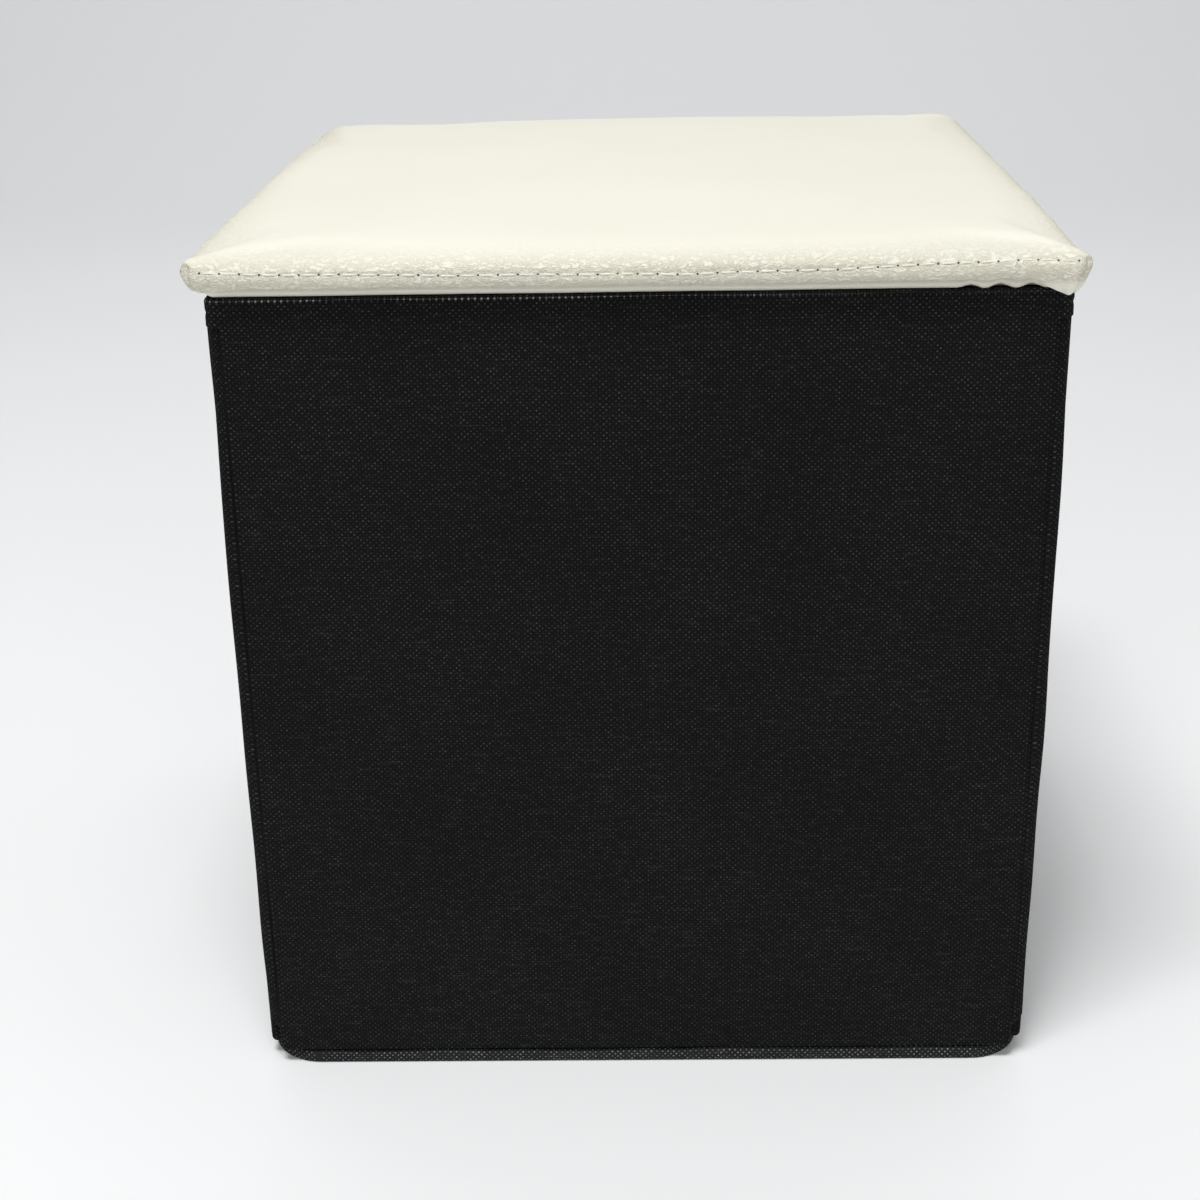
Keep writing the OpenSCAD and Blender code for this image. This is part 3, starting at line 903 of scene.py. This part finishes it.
def make_base():
    """The base board's fabric sleeve."""
    verts, faces, uvs = rounded_slab(BASE_LO, BASE_HI, 1.3 * MM, 4.0 * MM)
    centre, half = (BASE_LO + BASE_HI) / 2, (BASE_HI - BASE_LO) / 2
    verts[:, :2] = round_plan(verts[:, :2], centre[:2], half[:2], SLEEVE_R)
    near = (half - np.abs(verts - centre))[:, :2].min(1)
    dip = np.exp(-((near - SLEEVE_STITCH_INSET) / (1.1 * MM)) ** 2) * (near > 3 * MM)
    slack = 0.05 * MM * (1 + ripple(verts, 45 * MM, 41)) / 2
    verts[:, 2] += np.sign(centre[2] - verts[:, 2]) * (STITCH_DIP * dip + slack)
    obj = closed_object("base_sleeve_cloth", verts, faces, LINING, uvs)
    solidify(obj, 0.3 * MM)
    finish_piece(obj, "base", "lining_fabric", "base_board_sleeve")


def make_base_stitches():
    """Topstitching round the sleeve."""
    (x0, y0), (x1, y1) = BASE_LO[:2] + SLEEVE_STITCH_INSET, BASE_HI[:2] - SLEEVE_STITCH_INSET
    z = BASE_HI[2] - 0.16 * MM
    corners = np.array([(x0, y0, z), (x1, y0, z), (x1, y1, z), (x0, y1, z)])
    places = []
    for a, b in zip(corners, np.roll(corners, -1, 0)):
        places += chain(np.linspace(a, b, int(np.linalg.norm(b - a) / SLEEVE_STITCH) + 1), UP)
    obj = stitch_row("base_sleeve_stitches", places, 0.22 * MM, BLACK_THREAD)
    finish_piece(obj, "base", "lining_fabric")


def make_tab():
    """Ribbon that lifts the base board, sewn down at its rear end."""
    lo, hi = node_box("base_pull_tab")
    x, y = np.linspace(lo[0], hi[0], 20)[:, None], np.linspace(lo[1], hi[1], 36)[None, :]
    points = grid_of(x, y, hi[2])
    points[..., 2] -= 0.08 * MM * (1 + ripple(points, 12 * MM, 51)) / 2
    obj = cloth_shell("base_pull_ribbon", points[::-1], hi[2] - lo[2] - 0.1 * MM, TAPE, grid_of(x, y))
    finish_piece(obj, "base", "binding_tape", "base_pull_tab")
    places = []
    for row in (3 * MM, 6 * MM):
        xs = np.linspace(lo[0] + 2 * MM, hi[0] - 2 * MM, 9)
        places += chain([(x, hi[1] - row, hi[2] - 0.1 * MM) for x in xs], UP)
    finish_piece(stitch_row("base_ribbon_stitches", places, 0.2 * MM, BLACK_THREAD), "base", "binding_tape")


def make_hinge_strip():
    """Tape that hangs the base board on the back wall's lining."""
    lo, hi = node_box("base_hinge_strip")
    edge, top, level = BASE_HI[1], BASE_HI[2], BASE_HI[2] + 0.35 * MM
    profile = [(edge - 14 * MM, level), (edge - 8 * MM, level), (edge - 3 * MM, level),
               (edge - 1.2 * MM, level + 0.15 * MM), (lo[1] - 0.3 * MM, top + 1.1 * MM),
               (lo[1], top + 2.4 * MM)]
    profile = np.array(profile + [(lo[1], z) for z in np.linspace(lo[2] + 3 * MM, hi[2], 6)])
    x = np.linspace(lo[0] + 4 * MM, hi[0] - 4 * MM, 60)[:, None]
    points = grid_of(x, *profile.T[:, None])
    uv = grid_of(x, path_length(profile)[None, :])
    obj = cloth_shell("base_hinge_tape", points[::-1], 0.3 * MM, TAPE, uv)
    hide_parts("base_hinge_strip")
    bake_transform(obj)


make_base()
make_base_stitches()
make_tab()
make_hinge_strip()


# ---- the lid

LID_HALF = LID_HI[:2]
LID_Z = LID_LO[2]
LID_TOP = LID_HI[2] - LID_Z  # the lid's height at its centre, above its underside
LID_WIDEST_H = 9.5 * MM  # the height where the lid is widest
LID_EDGE_H = 14.5 * MM  # the height where its rounded edge gives way to the crown
LID_EDGE_R = 5.0 * MM  # radius of the underside's edge
LID_ROUND = 9.5 * MM  # the top rounds over this far in from the outline
SEAM_H = 8.0 * MM  # the topstitch line's height at the middle of each side
SEAM_RISE = 2.1 * MM  # how much higher the line runs at the corners
SEAM_PITCH = 6.7 * MM
SEAM_DEPTH = 0.34 * MM  # how far the stitches draw the cover in
SEAM_WANDER = 1.05 * MM  # the front line swings up this much near its right end
SEAM_WANDER_AT = 0.74  # as a share of the half width
TUCK = 2.2 * MM  # how far the cover draws in towards the underside
HEM_LIFT = 2.0 * MM  # how far the hem's outer edge rises off the box
HEM_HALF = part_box("lid_underside")[1][:2]
CONTOUR_ROUNDS = 14 * MM  # this far in, the contours have their full roundness
CROWN_REACH = 60 * MM  # the crown levels off over this distance
LID_THREAD_R = 0.30 * MM
NEEDLE_HOLE_R = 0.40 * MM
PINNED_BELOW = 5 * MM  # the simulation holds the cushion below this height
COVER_PRESSURE = 0.6
COVER_FRAMES = 20
COVER_SWELL = 1.2 * MM  # the most that it moves the cover

# Each corner of the lid: its sides of the centre and, in mm, its plan radius, how far its lower lip droops
# and turns in, how far its tip is pulled out along X and Y, the tip's height, how far its upper edge is
# lifted, and the depth of the pleat beside it. The back ones are folded alike.
BACK_FOLD = dict(droop=0.8, turn_in=0.5, tip=(0.0, 0.0), level=9.0, lift=0.0, pleat=0.5)
LID_CORNERS = [
    dict(side=(-1, -1), radius=7.0, droop=0.9, turn_in=-2.0, tip=(-1.5, 0.0), level=9.5, lift=1.7, pleat=0.5),
    dict(side=(1, -1), radius=5.5, droop=6.6, turn_in=3.0, tip=(0.9, 0.4), level=10.0, lift=0.0, pleat=1.0),
    dict(side=(-1, 1), radius=18.0, **BACK_FOLD),
    dict(side=(1, 1), radius=13.0, **BACK_FOLD),
]


def round_plan_corners(co, half):
    """Moves points of a square-cornered plan so that each corner has its own radius."""
    co = co.copy()
    for corner in LID_CORNERS:
        straight = half - corner["radius"] * MM
        over = corner["side"] * co[:, :2] - straight
        here = (over > 0).all(1)
        over = over[here]
        co[here, :2] = corner["side"] * (straight + unit(over) * over.max(1, keepdims=True))
    return co


def edge_distance(co, half):
    """How far points are in from the lid's outline in plan; the contours grow rounder towards the middle."""
    gap = np.clip(half - np.abs(co[:, :2]), 0.01 * MM, None)
    near = gap.min(1)
    for corner in LID_CORNERS:
        radius = corner["radius"] * MM
        here = (co[:, :2] * corner["side"] > 0).all(1) & (gap.max(1) < radius)
        near[here] = radius - np.linalg.norm(radius - gap[here], axis=1)
    near = np.clip(near, 0, None)
    round_near = (gap ** -4.0).sum(1) ** -0.25
    return near + (round_near - near) * smoothstep(near, 0, CONTOUR_ROUNDS)


def top_height(inset, edge_h, middle_h):
    """The top's height above the underside at that inset: a rounded edge, then a low crown."""
    bend = np.clip(inset / LID_ROUND, 0, 1)
    edge = LID_WIDEST_H + (edge_h - LID_WIDEST_H) * np.sqrt(1 - (1 - bend) ** 2)
    full = 1 - math.exp(-(min(LID_HALF) - LID_ROUND) / CROWN_REACH)
    rise = (1 - np.exp(-np.clip(inset - 0.6 * LID_ROUND, 0, None) / CROWN_REACH)) / full
    return edge + (middle_h - edge_h) * rise


COVER_CLOTH = dict(quality=6, mass=0.2, tension_stiffness=20, compression_stiffness=20, shear_stiffness=10,
                   bending_stiffness=1.0, use_pressure=True, vertex_group_mass="pinned")


def inflate(obj, pinned):
    """Cloth simulation of a stuffed cover: pinned vertices stay, and none moves further than COVER_SWELL."""
    rest = vertex_array(obj.data)
    obj.vertex_groups.new(name="pinned").add(np.nonzero(pinned)[0].tolist(), 1.0, "REPLACE")
    cloth = obj.modifiers.new("Cloth", "CLOTH")
    for setting, value in COVER_CLOTH.items():
        setattr(cloth.settings, setting, value)
    cloth.settings.uniform_pressure_force = COVER_PRESSURE
    cloth.settings.effector_weights.gravity = 0
    cloth.point_cache.frame_start, cloth.point_cache.frame_end = 1, COVER_FRAMES
    for frame_number in range(1, COVER_FRAMES + 1):
        bpy.context.scene.frame_set(frame_number)
    moved = obj.evaluated_get(bpy.context.evaluated_depsgraph_get())
    shift = vertex_array(moved.to_mesh()) - rest
    moved.to_mesh_clear()
    bpy.context.scene.frame_set(1)
    obj.modifiers.clear()
    obj.vertex_groups.clear()
    size = np.maximum(np.linalg.norm(shift, axis=1, keepdims=True), 1e-9)
    set_vertices(obj.data, rest + shift / size * COVER_SWELL * np.tanh(size / COVER_SWELL))


def seam_height(share, front):
    """Height of the stitched line; share runs from -1 to 1 along a side, and front is 1 on the front side."""
    return SEAM_H + SEAM_RISE * share ** 2 + front * SEAM_WANDER * bell(share - SEAM_WANDER_AT, 0.28)


def shape_sides(co, height):
    """Tucks the cover in towards its underside, and draws it in along the stitched line."""
    x, y = co[:, 0], co[:, 1]
    gap = LID_HALF - np.abs(co[:, :2])
    gap_x, gap_y = gap.T
    near = gap.min(1)
    on_side = fade(near, 0.5 * MM, 12 * MM)
    lean = unit(np.exp(-np.clip(gap, 0, None) / (5 * MM)) * np.sign(co[:, :2]))
    along = np.where(gap_x < gap_y, y / LID_HALF[1], x / LID_HALF[0])
    front = (gap_y <= gap_x) & (y < 0)
    tuck = fade(height, 0, 8 * MM)
    uneven = 0.20 * MM * ripple(co, 34 * MM, 61) + 0.10 * MM * ripple(co, 12 * MM, 62)
    seam = bell(height - seam_height(along, front), 0.9 * MM)
    push = uneven * (1 - tuck * 0.7) - TUCK * tuck - SEAM_DEPTH * seam
    out = co.copy()
    out[:, :2] += lean * (on_side * push)[:, None]
    out[:, 2] += on_side * tuck * 0.10 * MM * ripple(co, 42 * MM, 63)
    out[:, 2] += HEM_LIFT * fade(near, 3.5 * MM, 7.5 * MM) * fade(height, 0, 5.5 * MM)
    out[:, 2] += smoothstep(height, 11 * MM, 15 * MM) * 0.07 * MM * ripple(co, 60 * MM, 64)
    return out


LEFT_SET = 0.3 * MM  # how far the top of the left side leans in at its middle
LEFT_SKEW = 3.2 * MM  # and how much more towards the back, less towards the front
RIGHT_PINCH = 1.1 * MM  # how far the right side is drawn in just behind its front corner
BACK_LEFT_SINK = 1.8 * MM


def slump(co, height):
    """The loose cover leans unevenly on its foam: the left side is askew, and the back left corner sinks."""
    x, y = co[:, 0], co[:, 1]
    upper = smoothstep(height, 3.5 * MM, 9 * MM)
    left = smoothstep(-x, LID_HALF[0] - 30 * MM, LID_HALF[0])
    right = smoothstep(x, LID_HALF[0] - 20 * MM, LID_HALF[0])
    pinch = RIGHT_PINCH * bell(y + LID_HALF[1] - 36 * MM, 20 * MM)
    out = co.copy()
    out[:, 0] += upper * (left * (LEFT_SET + LEFT_SKEW * y / (120 * MM)) - right * pinch)
    out[:, 2] -= upper * BACK_LEFT_SINK * bell(np.hypot(x + LID_HALF[0], y - LID_HALF[1]), 80 * MM)
    return out


LIP_REACH = 23 * MM  # how far from the corner its drooping lip reaches


def fold_corner(co, height, side, radius, droop, turn_in, tip, level, lift, pleat):
    """Spare cover gathered under a corner: its lip droops, and a pleat runs up from the lip beside it."""
    dx, dy = (LID_HALF - side * co[:, :2]).T
    away = np.hypot(np.clip(dx, 0, None), np.clip(dy, 0, None))
    near = bell(away, 10 * MM)
    lip = fade(away, 1 * MM, LIP_REACH) * fade(np.minimum(dx, dy), 2.5 * MM, 6.5 * MM)
    lip *= fade(height, 0.5 * MM, 10 * MM)
    valley = bell(dx - 7 * MM - 0.5 * height, 1.6 * MM) * fade(height, 3 * MM, 9 * MM)
    pull = near * bell(height - level * MM, 4.0 * MM)
    out = co.copy()
    out[:, 0] += side[0] * MM * (pull * tip[0] - lip * turn_in)
    out[:, 1] += side[1] * MM * (pull * tip[1] - valley * pleat * fade(dy, 3 * MM, 7 * MM))
    out[:, 2] += MM * (near * smoothstep(height, 5 * MM, 10 * MM) * lift - lip * droop)
    return out


SCALLOP = 10.75 * MM  # length of one wave of the bunched hem
SCALLOP_CREST = LID_HALF[0] - 19.4 * MM  # where the last crest stands
SCALLOP_H = 0.65 * MM
SCALLOP_LIFT = 0.45 * MM


def bunch_front_hem(co, height):
    """The front hem is bunched in small waves beside the right corner."""
    place = (co[:, 0] - SCALLOP_CREST) / SCALLOP
    low = fade(LID_HALF[1] + co[:, 1], 8 * MM, 11 * MM) * fade(height, 0.5 * MM, 5 * MM)
    low *= smoothstep(place, -2.6, -1.8) * fade(place, 0.3, 0.7)
    wave = np.cos(2 * math.pi * place)
    out = co.copy()
    out[:, 2] += (wave * SCALLOP_H + SCALLOP_LIFT) * low
    out[:, 1] += wave * low * 0.4 * MM
    return out


def lid_form(half, low_z, edge_r, edge_h, middle_h, step, dense=NOT_DENSE):
    """Verts and faces of a crowned cushion of that half size, standing on low_z."""
    lo = np.array([*-half, low_z])
    hi = np.array([*half, LID_Z + edge_h])
    verts, faces, _ = rounded_slab(lo, hi, edge_r, step, dense=dense)
    verts = round_plan_corners(verts, half)
    upper = verts[:, 2] > hi[2] - edge_r + 1e-7
    verts[upper, 2] = LID_Z + top_height(edge_distance(verts[upper], half), edge_h, middle_h)
    return verts, faces


def make_lid_cushion():
    """The padded leathercloth cover, with its tucks, seam and corner folds."""
    verts, faces = lid_form(LID_HALF, LID_Z, LID_EDGE_R, LID_EDGE_H, LID_TOP - COVER_SWELL, 7.0 * MM,
                            dense=(33 * MM, 3.0 * MM))
    obj = closed_object("lid_cushion", verts, faces, SKIN)
    inflate(obj, vertex_array(obj.data)[:, 2] < LID_Z + PINNED_BELOW)
    smooth = obj.modifiers.new("Smooth", "SUBSURF")
    smooth.levels = smooth.render_levels = 2
    final_mesh(obj)
    co = vertex_array(obj.data)
    height = co[:, 2] - LID_Z
    co = bunch_front_hem(shape_sides(co, height), height)
    for corner in LID_CORNERS:
        co = fold_corner(co, height, **corner)
    co = slump(co, height)
    inside = np.min(HEM_HALF - np.abs(co[:, :2]), axis=1)
    co[:, 2] += (height < 2 * MM) * 0.6 * MM * smoothstep(inside, 0, 1.5 * MM)
    set_vertices(obj.data, co)
    finish_piece(obj, "lid", "leathercloth", "lid_cover")
    return obj


def make_lid_foam():
    """Foam under the cover, cut to the cushion's shape on top of the board."""
    skin = 1.5 * MM
    board_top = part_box("lid_board")[1][2]
    verts, faces = lid_form(LID_HALF - 2.6 * MM, board_top + 0.1 * MM, 3.0 * MM, LID_EDGE_H - skin,
                            LID_TOP - skin - 1.0 * MM, 9.0 * MM)
    obj = closed_object("lid_foam_pad", slump(verts, verts[:, 2] - LID_Z), faces, FOAM)
    finish_piece(obj, "lid", "foam", "lid_foam")


def needle_hole(point, normal, radius, sides=8):
    """Verts and faces of a small dark lens of painted shade, set in the cover where the needle went through."""
    side = normal.cross(Vector(UP)).normalized()
    up = side.cross(normal).normalized()
    verts = [point + normal * 0.10 * MM, point - normal * 0.3 * MM]
    for a in np.linspace(0, 2 * math.pi, sides, endpoint=False):
        verts.append(point + normal * 0.04 * MM + (side * math.cos(a) + up * math.sin(a)) * radius)
    ring = [(2 + k, 2 + (k + 1) % sides) for k in range(sides)]
    return verts, [[0, a, b] for a, b in ring] + [[1, b, a] for a, b in ring]


def make_lid_stitches(cushion):
    """One line of cream topstitching round the lid, with a dark lens of painted shade for each needle hole
    between stitches.
    """
    tree = BVHTree.FromObject(cushion, bpy.context.evaluated_depsgraph_get())
    places, holes = [], []
    for turn in range(4):
        spin = Matrix.Rotation(turn * math.pi / 2, 3, "Z")
        direction, out = spin @ Vector((1, 0, 0)), spin @ Vector((0, -1, 0))
        half_run = LID_HALF[turn % 2]
        reach = half_run - 5.5 * MM
        steps = np.linspace(-reach, reach, int(2 * reach / SEAM_PITCH) + 1)
        waves = 0.14 * MM * ripple(np.column_stack([steps, 0 * steps + turn, 0 * steps]), 30 * MM, 71)
        levels = LID_Z + seam_height(steps / half_run, turn == 0) + waves
        found = [tree.ray_cast(direction * step + out * 0.25 + Vector((0, 0, level)), -out)[:2]
                 for step, level in zip(steps.tolist(), levels.tolist())]
        for (a, a_normal), (b, b_normal) in zip(found, found[1:]):
            places.append((a, b, (a_normal + b_normal).normalized()))
        holes += [needle_hole(point, normal, NEEDLE_HOLE_R) for point, normal in found]
    stitches = stitch_row("lid_stitches", places, LID_THREAD_R, CREAM_THREAD, cover=0.84)
    finish_piece(stitches, "lid", "leathercloth")
    finish_piece(closed_object("lid_needle_holes", *merged(holes), HOLE_SHADE), "lid", "leathercloth")


def make_lid_felt():
    lo, hi = node_box("lid_underside")
    verts, faces, uvs = rounded_slab(lo, (hi[0], hi[1], lo[2] + 0.7 * MM), 0.3 * MM, 6 * MM)
    obj = closed_object("lid_felt", verts, faces, FELT, uvs)
    finish_piece(obj, "lid", "lining_fabric", "lid_underside")


lid_cushion = make_lid_cushion()
make_lid_foam()
make_lid_stitches(lid_cushion)
make_lid_felt()


# ---- CAD nodes that stay, with real materials

for node_name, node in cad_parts.items():
    node.data.materials.clear()
    node.data.materials.append(HARDBOARD if node_name.endswith("_board") else CLOTH)


# ---- studio and camera

def make_backdrop():
    """A seamless white sweep: floor in front, a wide curve up behind."""
    far, near, rise, bend = 3.2, -3.0, 3.0, 1.6
    profile = [(near, 0.0), (far - bend, 0.0)]
    for a in np.linspace(0, math.pi / 2, 24)[1:]:
        profile.append((far - bend + bend * math.sin(a), bend - bend * math.cos(a)))
    profile.append((far, rise))
    x = np.linspace(-4.0, 4.0, 3)
    points = np.array([[(px, py, pz) for py, pz in profile] for px in x])
    obj = make_object("studio_sweep", points.reshape(-1, 3), grid_quads(3, len(profile)), floor_material())


def add_light(name, place, target, size, power):
    light = bpy.data.lights.new(name, "AREA")
    light.shape = "RECTANGLE"
    light.size, light.size_y = size
    light.energy = power
    obj = bpy.data.objects.new(name, light)
    obj.location = place
    obj.rotation_euler = (Vector(target) - Vector(place)).to_track_quat("-Z", "Y").to_euler()
    bpy.context.scene.collection.objects.link(obj)


CAMERA_BEFORE_FRONT = 681 * MM  # how far the camera stands in front of the front wall
CAMERA_HEIGHT = 472.5 * MM
CAMERA_ASIDE = -1.5 * MM
CAMERA_YAW = math.radians(-1.12)
CAMERA_PITCH = math.radians(21.89)  # downwards
CAMERA_ROLL = math.radians(1.01)
CAMERA_LENS = 60.43  # mm
CAMERA_SENSOR = 36  # mm


def make_camera():
    data = bpy.data.cameras.new("camera")
    data.lens, data.sensor_width, data.clip_start = CAMERA_LENS, CAMERA_SENSOR, 0.01
    camera = bpy.data.objects.new("camera", data)
    place = Matrix.Translation((CAMERA_ASIDE, -HALF - CAMERA_BEFORE_FRONT, CAMERA_HEIGHT))
    turn = Matrix.Rotation(-CAMERA_YAW, 4, "Z") @ Matrix.Rotation(math.pi / 2 - CAMERA_PITCH, 4, "X")
    camera.matrix_world = place @ turn @ Matrix.Rotation(-CAMERA_ROLL, 4, "Z")
    bpy.context.scene.collection.objects.link(camera)
    bpy.context.scene.camera = camera


make_backdrop()
world = bpy.data.worlds.new("studio")
world.use_nodes = True
sky = world.node_tree.nodes["Background"]
sky.inputs["Color"].default_value = (0.985, 0.99, 1.0, 1)
sky.inputs["Strength"].default_value = 0.30
bpy.context.scene.world = world
add_light("key_softbox", (-0.38, -0.80, 2.3), (0, -0.1, 0.1), (0.7, 0.5), 27)
add_light("top_softbox", (0.0, -0.80, 2.4), (0, -0.1, 0.1), (0.5, 0.5), 12)
add_light("front_softbox", (0.0, -2.0, 1.0), (0, 0, 0.2), (1.6, 1.0), 11)
add_light("backdrop_softbox", (0.0, 0.9, 2.5), (0, 3.0, 0.3), (3.0, 1.0), 18)
bpy.context.scene.view_settings.view_transform = "Standard"
make_camera()
